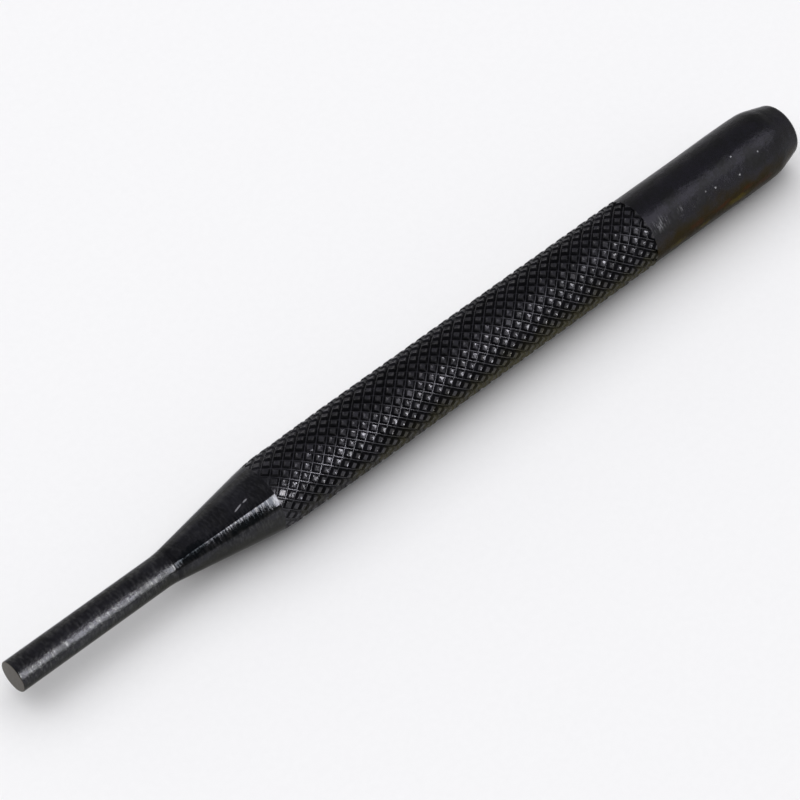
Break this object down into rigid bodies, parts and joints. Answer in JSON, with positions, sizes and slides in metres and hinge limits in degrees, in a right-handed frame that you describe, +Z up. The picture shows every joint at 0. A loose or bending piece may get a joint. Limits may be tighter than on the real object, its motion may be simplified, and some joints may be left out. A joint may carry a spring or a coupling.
{
  "type": "pin punch",
  "caption": "Solid steel pin punch: a parallel pin on a tapered, diamond-knurled round bar with a plain shank and a chamfered striking head.",
  "frame": {"origin": "on the surface that the punch lies on, below the middle of its length", "axes": "+X along the bar toward the struck head, the pin points along -X, +Z up"},
  "size_m": [0.15, 0.0114, 0.0114],
  "materials": {
    "pin_steel": "black oxide over fine turning marks, half gloss",
    "knurl_steel": "black oxide on rolled diamonds, tops slightly rubbed",
    "shank_steel": "black oxide, dull, with a straw brown tint"
  },
  "bodies": {
    "root": {"drive_pin": "pin_steel", "taper_cone": "pin_steel", "knurled_grip": "knurl_steel", "plain_shank": "shank_steel", "striking_head": "shank_steel"}
  },
  "joints": []
}
